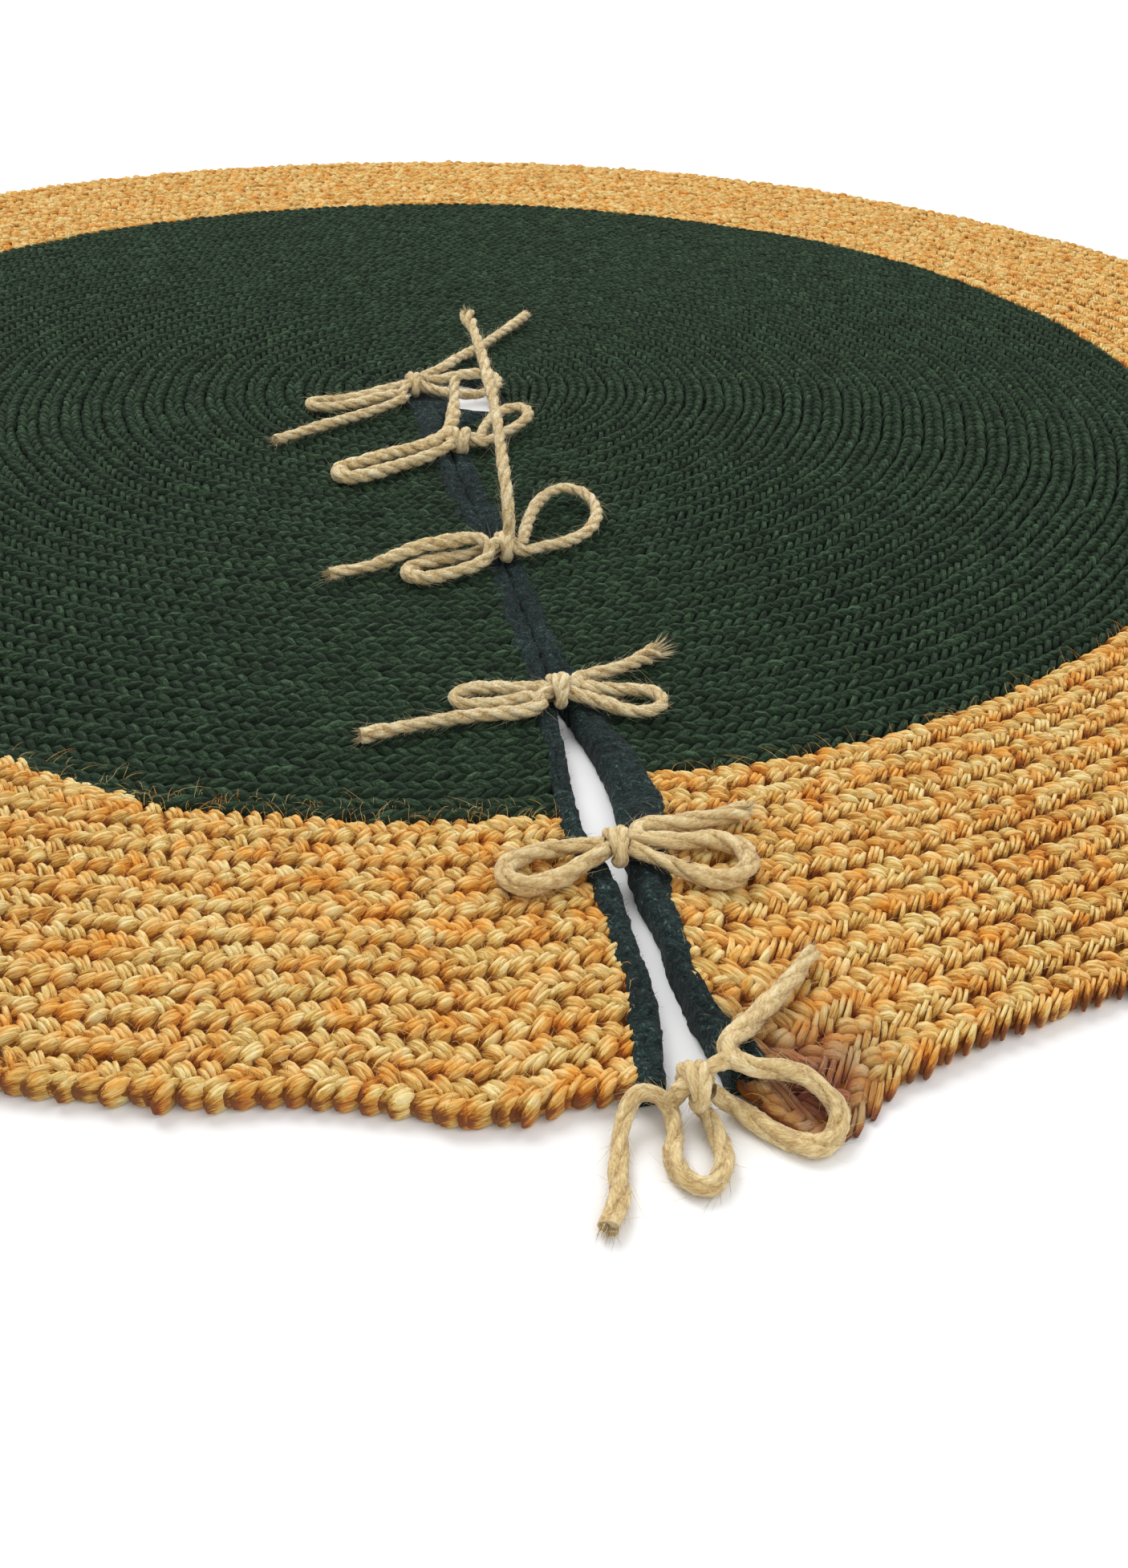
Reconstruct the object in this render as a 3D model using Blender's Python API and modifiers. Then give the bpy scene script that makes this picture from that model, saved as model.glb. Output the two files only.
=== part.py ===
"""Round braided tree skirt, one metre across, lying flat.

A dark green braid coil fills the middle and a plaited jute coil forms the border. A slit runs
from the trunk hole to the rim along -Y. Its cut edges and the hole are bound with felt strip, and
six pairs of twine ties close it with bows. The corner on each side of the slit folds up along a
line that starts at the slit, so each braid band is modelled as a main part and two flap parts.

The origin is the centre of the trunk hole on the floor, +Z is up and +X is right of the slit.
Route points and most sizes are given in millimetres and scaled by MM.
"""

import math

import bmesh
import bpy
from mathutils import Vector

MM = 0.001

# Braid rows, from the trunk hole outwards.
HOLE_RADIUS = 22.5
GREEN_ROW_WIDTH = 9.9
GREEN_ROWS = 35
JUTE_ROW_WIDTH = 11.9
GREEN_BAND_ROWS = (7, 7, 7, 7, 6)
JUTE_BAND_ROWS = (4, 3, 3)
BRAID_THICKNESS = 9.0
ROW_CHAMFER = 1.6
GREEN_RADIUS = HOLE_RADIUS + GREEN_ROWS * GREEN_ROW_WIDTH
RING_STEPS = 48
JOINT_GAP = 0.3

# The jute coil starts this far left of the slit, seen from the hole.
JUTE_START_ANGLE = 22.4

# The slit and the felt strip bound over its edges and round the hole.
SLIT_WIDTH = 5.0
BINDING_THICKNESS = 1.5
BINDING_FLANGE = 1.0
STRIP_WIDTH = 7.5
HOLE_STRIP_RADIUS = 34.85
STRIP_TOP = BRAID_THICKNESS + JOINT_GAP + BINDING_FLANGE
RIM_RADIUS = GREEN_RADIUS + (1 + sum(JUTE_BAND_ROWS)) * JUTE_ROW_WIDTH

# Each fold line runs this far round from the slit, and passes the hole's centre at this distance.
FOLD_ANGLE = 60.0
FOLD_OFFSET = 28.0
# A flap is only cut free this far along its fold line, so its thick edge clears the other flap.
FOLD_START = 9.0

TWINE_RADIUS = 2.5
MOST_TURN = math.radians(24)
MOST_STEP = 14.0

# Each tie runs from the slit edge at its knot out round a loop, back to the knot and out as a tail.
TIE_ROUTES = {
    "tie_1_left": (
        (-25, -12, 13.4), (-34, -16, 13.2), (-47, -21.5, 12.2), (-58, -23, 11.9),
        (-66, -22.4, 11.9), (-70.4, -25, 11.9), (-69.6, -29.6, 11.9), (-64.5, -31.6, 11.9),
        (-56, -31.2, 11.9), (-46, -28.8, 12.1), (-35.5, -24.6, 13), (-29, -22.8, 13.4),
        (-25, -24.8, 13.4), (-24.8, -29.4, 13.4), (-29.5, -34, 13.2), (-43, -42, 12),
        (-58, -51, 11.9), (-74, -61.5, 11.9), (-89, -71.8, 11.9),
    ),
    "tie_1_right": (
        (-11, -17, 13.4), (-1, -25, 13.4), (10, -29, 13.4), (18, -25.5, 13.4),
        (23.5, -17, 13.4), (24.5, -7, 13.4), (19.5, 0, 13.4), (10, 0.5, 13.4),
        (1, -2.5, 13.4), (-6, -5, 13.4), (-10.4, -4.2, 13.4), (-11.8, 0.2, 13.4),
        (-8.5, 5, 13.4), (-1, 12, 13.4), (9.5, 26.5, 13.2), (24, 46, 12),
        (41, 71.5, 11.9), (58, 97, 11.9),
    ),
    "tie_2_left": (
        (-14.6, -97, 13.2), (-24, -103, 12.1), (-37, -110.5, 11.9), (-50, -117.5, 11.9),
        (-58, -119.6, 11.9), (-63.2, -116, 11.9), (-61.6, -109.8, 11.9), (-53, -104.4, 12.1),
        (-37, -96.8, 12.8), (-24, -91.5, 13.2), (-15.5, -86.6, 13.6), (-9.8, -79.8, 14.5),
        (-6.3, -70.5, 16.5), (-3.6, -57, 20.5), (-1.2, -41, 26),
    ),
    "tie_2_right": (
        (4.9, -84.3, 13.4), (7, -76, 13.2), (11.5, -65.5, 13.4), (18, -57, 14),
        (25, -53.6, 15), (30.5, -56.5, 15.4), (31.2, -63.5, 15), (26.5, -71.5, 14.2),
        (18, -79.5, 13.4), (10.5, -86.5, 13.2), (5, -91, 13.4),
    ),
    "tie_3_left": (
        (-10.3, -202.3, 13.3), (-18, -204.8, 12.2), (-28, -207, 11.9), (-37, -209.6, 11.9),
        (-42.8, -213.6, 11.9), (-43.2, -219, 11.9), (-38, -222.3, 11.9), (-31, -221.3, 11.9),
        (-22, -217.6, 12), (-14.5, -214.4, 12.6), (-10.4, -211, 14.6), (-10.6, -207.4, 17.6),
        (-14.5, -205, 19.2), (-21, -204.8, 19), (-29, -205.4, 18.4), (-38, -206.4, 17.6),
        (-47, -207.6, 15), (-56, -209, 12.3), (-65, -211, 11.9), (-74, -213.5, 11.9),
    ),
    "tie_3_right": (
        (4.9, -199.5, 13.4), (7.5, -190, 13.4), (12, -176.5, 13.6), (19, -162, 14.5),
        (28, -153.5, 15.5), (36, -155.5, 15.5), (41, -165.5, 14.5), (40, -179, 13.2),
        (33, -191.5, 12.2), (22, -199.8, 12.2), (12, -204, 13.1), (5, -207.4, 13.4),
    ),
    "tie_3_raised_tail": (
        (-1, -203, 22.8), (-0.8, -197, 31), (-0.4, -186, 39), (0.4, -171, 46),
        (1.2, -153, 52.5), (1.6, -133, 58), (1.5, -112, 63), (1, -94, 66.5),
        (0, -80, 69),
    ),
    "tie_4_left": (
        (-10.4, -314.2, 13.3), (-17, -311.4, 12.1), (-26, -309.4, 11.9), (-33.4, -309.8, 11.9),
        (-38.4, -313.4, 11.9), (-37, -318.2, 11.9), (-30, -319.8, 11.9), (-21, -319.6, 11.9),
        (-14.4, -319.2, 12.8), (-10.4, -321, 13.3), (-10.4, -325.2, 13.3), (-14.6, -327.4, 12.6),
        (-22, -327, 11.9), (-32, -326.6, 11.9), (-44, -327.8, 11.9), (-58, -330.4, 11.9),
        (-72, -333.6, 11.9),
    ),
    "tie_4_right": (
        (5, -322.6, 13.3), (11, -327, 13.1), (18.5, -331.8, 12), (26, -333, 11.9),
        (31.3, -329.3, 11.9), (31, -322.6, 11.9), (25, -318.8, 11.9), (16.5, -317.8, 12.2),
        (9.4, -317.4, 13.2), (5.4, -315.4, 13.4), (5.2, -311.4, 13.4), (9.4, -308.6, 13.2),
        (19, -304, 12), (29, -299, 11.9), (37, -294, 11.9),
    ),
    "tie_5_left": (
        (-10.4, -406.8, 13.3), (-18, -405.4, 12.1), (-28, -406.2, 11.9), (-35.5, -410.5, 11.9),
        (-37, -417, 11.9), (-32.5, -421, 11.9), (-25, -420.4, 11.9), (-17, -416.8, 12.3),
        (-11.2, -413.4, 13.3),
    ),
    "tie_5_right": (
        (5, -413.6, 13.3), (11, -419.2, 13.1), (20, -426, 12), (28, -427.2, 11.9),
        (34.5, -422, 11.9), (34.5, -413.8, 11.9), (27, -408.4, 11.9), (17, -407.4, 12.1),
        (9.8, -407.6, 13.1), (5.5, -406, 13.4), (5.1, -402, 13.4), (9.4, -399.6, 13.2),
        (19, -398.6, 12), (30, -397.2, 11.9), (41, -395.5, 11.9),
    ),
    "tie_6_left": (
        (-3, -504.8, 4.3), (-1.2, -511.5, 3.4), (-0.8, -519, 2.9), (-2.2, -526, 2.9),
        (-7, -530.5, 2.9), (-12, -527.5, 2.9), (-13.2, -520, 2.9), (-11.2, -513.5, 3),
        (-10.4, -508.4, 4.4), (-12.8, -504.4, 7), (-17.8, -503.6, 8.4), (-21.8, -506.6, 6.8),
        (-24.6, -513, 3.6), (-26.8, -521, 2.9), (-28.6, -529.5, 2.9), (-33, -538.5, 2.9),
    ),
    "tie_6_right": (
        (5.4, -506.5, 3.4), (10, -512.5, 2.9), (15.4, -519, 2.9), (22, -522.8, 2.9),
        (28, -520.3, 3.8), (29.5, -514.6, 6.8), (25, -508.8, 10.2), (18, -505, 12.2),
        (10.8, -503.8, 13), (6.4, -501.6, 14.2), (5.6, -497.6, 14.6), (9.6, -492.6, 13.4),
        (19, -483.8, 12), (30, -473.5, 11.9), (40, -463, 11.9),
    ),
}

# The crossing of each pair of ties: its centre and its half width across the slit.
KNOTS = (
    ((-18, -13, 15.2), 4.4),
    ((-5, -90, 15.2), 6.6),
    ((-2.8, -204, 15.2), 4.4),
    ((-2.8, -319, 15.2), 4.4),
    ((-2.8, -410, 15.2), 4.4),
    ((-4.2, -505.8, 12), 5.8),
)
KNOT_HALF_DEPTH = 5.0
KNOT_HALF_HEIGHT = 4.6


def clear_scene():
    for obj in list(bpy.data.objects):
        bpy.data.objects.remove(obj, do_unlink=True)


def new_collection(name):
    collection = bpy.data.collections.new(name)
    bpy.context.scene.collection.children.link(collection)
    return collection


def new_material(name, colour, roughness):
    material = bpy.data.materials.new(name)
    material.use_nodes = True
    shader = material.node_tree.nodes["Principled BSDF"]
    shader.inputs["Base Color"].default_value = (*colour, 1.0)
    shader.inputs["Roughness"].default_value = roughness
    shader.inputs["Metallic"].default_value = 0.0
    return material


def add_object(name, data, material):
    obj = bpy.data.objects.new(name, data)
    obj.data.materials.append(material)
    parts.objects.link(obj)
    return obj


def add_prism(name, outline, bottom, top):
    """A cutter whose outline is given in millimetres, anticlockwise seen from above."""
    shape = bmesh.new()
    floor = [shape.verts.new((x * MM, y * MM, bottom * MM)) for x, y in outline]
    face = shape.faces.new(floor)
    raised = bmesh.ops.extrude_face_region(shape, geom=[face])["geom"]
    moved = [v for v in raised if isinstance(v, bmesh.types.BMVert)]
    bmesh.ops.translate(shape, verts=moved, vec=(0, 0, (top - bottom) * MM))
    bmesh.ops.recalc_face_normals(shape, faces=shape.faces)
    mesh = bpy.data.meshes.new(name)
    shape.to_mesh(mesh)
    shape.free()
    cutter = bpy.data.objects.new(name, mesh)
    cutter.hide_render = True
    cutter.display_type = "WIRE"
    cutters.objects.link(cutter)
    return cutter


def cut(obj, cutter, operation="DIFFERENCE"):
    modifier = obj.modifiers.new(operation.title() + " " + cutter.name, "BOOLEAN")
    modifier.operation = operation
    modifier.object = cutter


def flap_outline(side, clearance, slit_edge):
    """The corners of a flap, in millimetres: side is -1 left of the slit and 1 right of it.

    A positive clearance draws the outline in from the fold, a negative one lets it past.
    """
    turn = math.radians(FOLD_ANGLE)
    fold = Vector((side * math.sin(turn), -math.cos(turn)))
    across = Vector((-side * math.cos(turn), -math.sin(turn)))
    apex_y = (FOLD_OFFSET + SLIT_WIDTH / 2 * math.cos(turn)) / math.sin(turn)
    apex = Vector((side * SLIT_WIDTH / 2, -apex_y))
    inner = apex + fold * (FOLD_START + clearance) + across * clearance
    # From the inner corner the outline runs square to the fold until it meets the slit edge.
    to_slit = (side * slit_edge - inner.x) / across.x
    slit_corner = inner + across * to_slit
    reach = 2 * RIM_RADIUS
    outer = inner + fold * reach
    slit_end = Vector((side * slit_edge, outer.y - reach))
    corners = [inner, outer, slit_end, slit_corner]
    if side > 0:
        corners.reverse()
    return corners


def ring_profile(name, inner, outer, bottom, top, chamfer):
    """A closed ring section at +X that runs down its outer side first."""
    section = (
        (outer - chamfer, top),
        (outer, top - chamfer),
        (outer, bottom),
        (inner, bottom),
        (inner, top - chamfer),
        (inner + chamfer, top),
    )
    points = [(x * MM, 0, z * MM) for x, z in section]
    edges = [(i, (i + 1) % len(points)) for i in range(len(points))]
    mesh = bpy.data.meshes.new(name)
    mesh.from_pydata(points, edges, [])
    return mesh


def turn_round(obj):
    screw = obj.modifiers.new("Turn", "SCREW")
    screw.axis = "Z"
    screw.angle = 2 * math.pi
    screw.steps = RING_STEPS
    screw.render_steps = RING_STEPS
    screw.use_merge_vertices = True
    screw.merge_threshold = 1e-5


def add_ring(name, inner, outer, material, cuts):
    """A braid ring of whole rows, cut by each (cutter, operation) pair."""
    gap = JOINT_GAP / 2
    profile = ring_profile(name, inner + gap, outer - gap, 0, BRAID_THICKNESS, ROW_CHAMFER)
    obj = add_object(name, profile, material)
    turn_round(obj)
    for cutter, operation in cuts:
        cut(obj, cutter, operation)
    return obj


def add_band(name, inner, outer, material):
    """A braid ring as its main part and the part on each flap."""
    add_ring(name + "_main", inner, outer, material, main_cuts)
    for side_name, cutter in flap_cutters.items():
        add_ring(f"{name}_{side_name}", inner, outer, material, [(cutter, "INTERSECT")])


def add_jute_start_row(inner, outer):
    """The first row outside the green: jute, and green from where the jute starts to the slit."""
    add_ring("jute_start_row_main", inner, outer, jute, main_cuts)
    add_ring("jute_start_row_right", inner, outer, jute, [(flap_cutters["right"], "INTERSECT")])
    left = (flap_cutters["left"], "INTERSECT")
    reach = 2 * RIM_RADIUS
    turn = math.radians(JUTE_START_ANGLE)
    start = Vector((-math.sin(turn), -math.cos(turn))) * reach
    aside = Vector((-math.cos(turn), math.sin(turn))) * JOINT_GAP / 2
    far_left = Vector((-reach, 0))
    jute_side = add_prism("jute_side", [aside, far_left, start + aside], -20, 40)
    green_side = add_prism("green_side", [-aside, start - aside, Vector((0, -reach))], -20, 40)
    add_ring("jute_start_row_left", inner, outer, jute, [left, (jute_side, "INTERSECT")])
    add_ring("green_end_row_left", inner, outer, green, [left, (green_side, "INTERSECT")])


def add_braids():
    centre = HOLE_RADIUS + GREEN_ROW_WIDTH
    hole_edge = HOLE_RADIUS + BINDING_THICKNESS
    add_ring("green_centre_row", hole_edge, centre, green, main_cuts[:1])
    inner = centre
    for i, rows in enumerate(GREEN_BAND_ROWS):
        outer = inner + rows * GREEN_ROW_WIDTH
        add_band(f"green_braid_{i + 1}", inner, outer, green)
        inner = outer
    add_jute_start_row(GREEN_RADIUS, GREEN_RADIUS + JUTE_ROW_WIDTH)
    inner = GREEN_RADIUS + JUTE_ROW_WIDTH
    for i, rows in enumerate(JUTE_BAND_ROWS):
        outer = inner + rows * JUTE_ROW_WIDTH
        add_band(f"jute_braid_{i + 1}", inner, outer, jute)
        inner = outer


def add_hole_binding():
    """The strip round the hole: a wall inside it and a flange over the first rows."""
    flange_bottom = STRIP_TOP - BINDING_FLANGE
    wall = HOLE_RADIUS + BINDING_THICKNESS - JOINT_GAP / 2
    section = (
        (HOLE_STRIP_RADIUS, STRIP_TOP),
        (HOLE_STRIP_RADIUS, flange_bottom),
        (wall, flange_bottom),
        (wall, 0),
        (HOLE_RADIUS, 0),
        (HOLE_RADIUS, STRIP_TOP),
    )
    points = [(x * MM, 0, z * MM) for x, z in section]
    edges = [(i, (i + 1) % len(points)) for i in range(len(points))]
    mesh = bpy.data.meshes.new("hole_binding")
    mesh.from_pydata(points, edges, [])
    obj = add_object("hole_binding", mesh, felt)
    turn_round(obj)
    cut(obj, hole_slit)


def add_slit_binding(side_name, side):
    """The strip over one slit edge, as the short part by the hole and the part on the flap."""
    wall = SLIT_WIDTH / 2 + BINDING_THICKNESS
    flange = SLIT_WIDTH / 2 + STRIP_WIDTH
    flange_bottom = STRIP_TOP - BINDING_FLANGE
    near = -(HOLE_STRIP_RADIUS + JOINT_GAP)
    far = -math.sqrt(RIM_RADIUS**2 - flange**2)
    section = [
        (SLIT_WIDTH / 2, 0),
        (wall, 0),
        (wall, flange_bottom),
        (flange, flange_bottom),
        (flange, STRIP_TOP),
        (SLIT_WIDTH / 2, STRIP_TOP),
    ]
    for part_name, cutter, operation in (
        ("inner", wide_cutters[side_name], "DIFFERENCE"),
        ("edge", strip_cutters[side_name], "INTERSECT"),
    ):
        shape = bmesh.new()
        ends = [shape.verts.new((side * x * MM, near * MM, z * MM)) for x, z in section]
        face = shape.faces.new(ends)
        raised = bmesh.ops.extrude_face_region(shape, geom=[face])["geom"]
        moved = [v for v in raised if isinstance(v, bmesh.types.BMVert)]
        bmesh.ops.translate(shape, verts=moved, vec=(0, (far - near) * MM, 0))
        bmesh.ops.recalc_face_normals(shape, faces=shape.faces)
        name = f"slit_binding_{side_name}_{part_name}"
        mesh = bpy.data.meshes.new(name)
        shape.to_mesh(mesh)
        shape.free()
        obj = add_object(name, mesh, felt)
        cut(obj, cutter, operation)


def smooth_route(points, samples=16):
    """A centripetal Catmull-Rom curve through the points."""
    points = [Vector(p) for p in points]
    points = [2 * points[0] - points[1], *points, 2 * points[-1] - points[-2]]
    route = []
    for a, b, c, d in zip(points, points[1:], points[2:], points[3:]):
        t1 = math.sqrt((b - a).length)
        t2 = t1 + math.sqrt((c - b).length)
        t3 = t2 + math.sqrt((d - c).length)
        for i in range(samples):
            t = t1 + (t2 - t1) * i / samples
            ab = a.lerp(b, t / t1)
            bc = b.lerp(c, (t - t1) / (t2 - t1))
            cd = c.lerp(d, (t - t2) / (t3 - t2))
            abc = ab.lerp(bc, t / t2)
            bcd = bc.lerp(cd, (t - t1) / (t3 - t1))
            route.append(abc.lerp(bcd, (t - t1) / (t2 - t1)))
    route.append(points[-2])
    return route


def thinned(route):
    """Fewer points of a smooth route: one wherever it has turned or run on far enough."""
    kept = [route[0]]
    heading = (route[1] - route[0]).normalized()
    for here, after in zip(route[1:], route[2:]):
        step = (after - here).normalized()
        if step.angle(heading) > MOST_TURN or (here - kept[-1]).length > MOST_STEP:
            kept.append(here)
            heading = step
    kept.append(route[-1])
    return kept


def add_tie(name, points):
    route = thinned(smooth_route(points))
    curve = bpy.data.curves.new(name, "CURVE")
    curve.dimensions = "3D"
    curve.bevel_depth = TWINE_RADIUS * MM
    curve.bevel_resolution = 2
    curve.use_fill_caps = True
    spline = curve.splines.new("POLY")
    spline.points.add(len(route) - 1)
    for target, point in zip(spline.points, route):
        target.co = (*(point * MM), 1.0)
    add_object(name, curve, twine)


def add_knot(name, centre, half_width):
    shape = bmesh.new()
    bmesh.ops.create_uvsphere(shape, u_segments=12, v_segments=8, radius=1.0)
    half_size = Vector((half_width, KNOT_HALF_DEPTH, KNOT_HALF_HEIGHT)) * MM
    bmesh.ops.scale(shape, verts=shape.verts, vec=half_size)
    mesh = bpy.data.meshes.new(name)
    shape.to_mesh(mesh)
    shape.free()
    mesh.shade_smooth()
    obj = add_object(name, mesh, twine)
    obj.location = Vector(centre) * MM


clear_scene()
parts = new_collection("Tree skirt")
cutters = new_collection("Cutters")
cutters.hide_render = True

green = new_material("green_braid", (0.022, 0.048, 0.027), 0.9)
jute = new_material("jute_braid", (0.55, 0.33, 0.12), 0.85)
felt = new_material("felt_binding", (0.012, 0.028, 0.030), 0.95)
twine = new_material("jute_twine", (0.60, 0.44, 0.24), 0.9)

BRAID_EDGE = SLIT_WIDTH / 2 + BINDING_THICKNESS + JOINT_GAP
SIDES = {"left": -1, "right": 1}
slit_reach = 2 * RIM_RADIUS


def slit_outline(half_width):
    return [(-half_width, -slit_reach), (half_width, -slit_reach), (half_width, 0), (-half_width, 0)]


braid_slit = add_prism("braid_slit", slit_outline(BRAID_EDGE), -20, 40)
hole_slit = add_prism("hole_slit", slit_outline(SLIT_WIDTH / 2), -20, 40)
half_gap = JOINT_GAP / 2
flap_cutters = {}
strip_cutters = {}
wide_cutters = {}
for side_label, side_sign in SIDES.items():
    inside = flap_outline(side_sign, half_gap, BRAID_EDGE)
    strip_inside = flap_outline(side_sign, half_gap, 0)
    beyond = flap_outline(side_sign, -half_gap, 0)
    flap_cutters[side_label] = add_prism(f"flap_{side_label}", inside, -20, 40)
    strip_cutters[side_label] = add_prism(f"strip_{side_label}", strip_inside, -25, 45)
    wide_cutters[side_label] = add_prism(f"beyond_{side_label}", beyond, -30, 50)
main_cuts = [(braid_slit, "DIFFERENCE")]
main_cuts += [(cutter, "DIFFERENCE") for cutter in wide_cutters.values()]

add_braids()
add_hole_binding()
for side_label, side_sign in SIDES.items():
    add_slit_binding(side_label, side_sign)
for tie_name, tie_points in TIE_ROUTES.items():
    add_tie(tie_name, tie_points)
for knot_index, (knot_centre, knot_half_width) in enumerate(KNOTS):
    add_knot(f"knot_{knot_index + 1}", knot_centre, knot_half_width)
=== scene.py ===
import math
from types import SimpleNamespace

import bpy
import numpy as np
from mathutils import Matrix, Vector


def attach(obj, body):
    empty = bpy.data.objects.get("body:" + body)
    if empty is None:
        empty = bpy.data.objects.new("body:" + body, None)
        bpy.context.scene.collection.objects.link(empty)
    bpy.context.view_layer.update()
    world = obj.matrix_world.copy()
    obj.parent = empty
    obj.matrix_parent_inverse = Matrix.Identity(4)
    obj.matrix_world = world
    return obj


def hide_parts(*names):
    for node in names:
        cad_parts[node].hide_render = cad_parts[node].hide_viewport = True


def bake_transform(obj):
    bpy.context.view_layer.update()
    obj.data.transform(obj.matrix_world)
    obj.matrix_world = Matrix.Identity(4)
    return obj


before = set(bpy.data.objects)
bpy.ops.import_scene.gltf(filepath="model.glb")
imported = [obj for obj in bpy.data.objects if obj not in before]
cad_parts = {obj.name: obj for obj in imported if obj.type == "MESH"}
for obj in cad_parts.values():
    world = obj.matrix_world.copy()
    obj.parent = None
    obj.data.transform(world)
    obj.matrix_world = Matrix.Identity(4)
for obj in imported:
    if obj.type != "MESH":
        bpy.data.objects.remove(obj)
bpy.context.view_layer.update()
rng = np.random.default_rng(24)

MM = 0.001
TURN = 2 * math.pi

HOLE_R = 22.5
GREEN_W, GREEN_ROWS = 9.9, 35
JUTE_W, JUTE_ROWS = 11.9, 11
GREEN_R = HOLE_R + GREEN_W * GREEN_ROWS
RIM_R = GREEN_R + JUTE_ROWS * JUTE_W
JUTE_START = math.radians(-90 - 22.4)
JUTE_TAPER = math.radians(9)
THICK = 9.0
TWINE_R = 2.5
ON_FLOOR = 0.02

SIDES = ("left", "right")
SIGN = {"left": -1, "right": 1}
SLIT = -math.pi / 2


# ---- camera

def add_camera():
    """A camera where the photo was taken from, in metres."""
    eye = Vector((-0.09438, -0.76870, 0.28586))
    forward = Vector((0.16975, 0.81098, -0.55991)).normalized()
    roll = 0.0254
    right = forward.cross(Vector((0, 0, 1))).normalized()
    up = right.cross(forward)
    side = right * math.cos(roll) + up * math.sin(roll)
    top = up * math.cos(roll) - right * math.sin(roll)
    data = bpy.data.cameras.new("camera")
    data.sensor_width = 36.0
    data.lens = 35.71
    data.clip_start = 0.01
    camera = bpy.data.objects.new("camera", data)
    turn = Matrix((side, top, -forward)).transposed()
    camera.matrix_world = Matrix.Translation(eye) @ turn.to_4x4()
    bpy.context.scene.collection.objects.link(camera)
    bpy.context.scene.camera = camera


add_camera()


# ---- helpers

def smooth(x, low, high):
    """A soft step from 0 at low to 1 at high."""
    t = np.clip((np.asarray(x, float) - low) / (high - low), 0, 1)
    return t * t * (3 - 2 * t)


def hump(x, width):
    """A smooth hump of height 1 round x = 0."""
    return np.exp(-((x / width) ** 2))


def level(angle):
    """Unit vectors along the floor at these angles."""
    return np.stack([np.cos(angle), np.sin(angle)], 1)


def warp(p):
    """The unevenness of a soft mat, which moves points away from the centre and up."""
    p = np.array(p, float)
    x, y = p[:, 0], p[:, 1]
    r = np.hypot(x, y)
    a = np.arctan2(y, x)
    front = y < 0
    wander = 0.8 * np.sin(5 * a + r / 90) + 0.5 * np.sin(11 * a - r / 60) + 0.3 * np.sin(23 * a + r / 37)
    wander = smooth(r, 60, 170) * wander
    # Left of the slit the rim swells, and beyond the swell it draws in.
    along_rim = (a - math.atan2(-500, -55)) * 500
    swell = 6.5 * hump(along_rim, 21) * smooth(r, 400, 500)
    hollow = -2.0 * hump(along_rim + 45, 18) * smooth(r, 430, 500)
    # Right of the slit the first jute rows are drawn in.
    beside = np.exp(-(np.maximum(x, 0) / 40) ** 1.4) * (x > 0) * front
    drawn_in = -12.0 * beside * smooth(r, 290, 369) * (1 - smooth(r, 372, 470))
    # The hole is wider on the slit's side.
    near_hole = smooth(r, 13, 22) * (1 - smooth(r, 22, 86))
    corner = 23.0 * hump(a - math.radians(-66), 0.42) * near_hole
    pocket = 9.0 * hump(a - math.radians(-140), 0.35) * near_hole
    # Right of the slit the rim's corner flares out. It thins out under the last bow's loop.
    flare = 18.0 * hump(x - 25, 15) + 9.0 * hump(x - 46, 28)
    flare = flare * smooth(r, 420, 500) * front * smooth(x, 0, 8)
    far = (r + wander + swell + hollow + drawn_in + corner + pocket + flare) / np.maximum(r, 1e-6)
    thin = 1 - 0.6 * smooth(r * far, RIM_R + 2, RIM_R + 18) * (flare > 1)
    from_slit = np.abs(np.angle(np.exp(1j * (a - SLIT))))
    calm = smooth(r, 130, 220) * smooth(from_slit, 0.35, 0.6)
    rise = 0.45 * (1 + np.sin(7 * a + r / 80)) * calm
    p[:, 0], p[:, 1] = x * far, y * far
    p[:, 2] = p[:, 2] * thin + rise
    return p


def new_mesh(name, points, faces, values=None, vectors=None):
    """A smooth mesh object from arrays, with per-point number and vector attributes."""
    points = np.ascontiguousarray(points, np.float32) * MM
    faces = np.ascontiguousarray(faces, np.int32)
    mesh = bpy.data.meshes.new(name)
    mesh.vertices.add(len(points))
    mesh.vertices.foreach_set("co", points.ravel())
    mesh.loops.add(faces.size)
    mesh.loops.foreach_set("vertex_index", faces.ravel())
    mesh.polygons.add(len(faces))
    mesh.polygons.foreach_set("loop_start", np.arange(0, faces.size, faces.shape[1], dtype=np.int32))
    mesh.polygons.foreach_set("use_smooth", np.full(len(faces), True))
    mesh.update(calc_edges=True)
    mesh.validate()
    for kind, field, table in (("FLOAT", "value", values), ("FLOAT_VECTOR", "vector", vectors)):
        for key, data in (table or {}).items():
            numbers = np.ascontiguousarray(data, np.float32).ravel()
            mesh.attributes.new(key, kind, "POINT").data.foreach_set(field, numbers)
    obj = bpy.data.objects.new(name, mesh)
    bpy.context.scene.collection.objects.link(obj)
    return obj


def finish_piece(obj, look, side=None, body=None, nodes=()):
    """Gives a piece its material and hides the CAD parts it stands for. With a side its transform is baked,
    else it is parented to its body.
    """
    material, slot_name = look
    obj.data.materials.append(material)
    if nodes:
        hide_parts(*nodes)
    if side:
        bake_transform(obj)
    else:
        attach(obj, body)
    return obj


# ---- materials

def linear(colour):
    """A Blender colour from 0 to 255 sRGB numbers."""
    c = np.array(colour, float) / 255
    c = np.where(c <= 0.04045, c / 12.92, ((c + 0.055) / 1.055) ** 2.4)
    return (*c.tolist(), 1.0)


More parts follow.
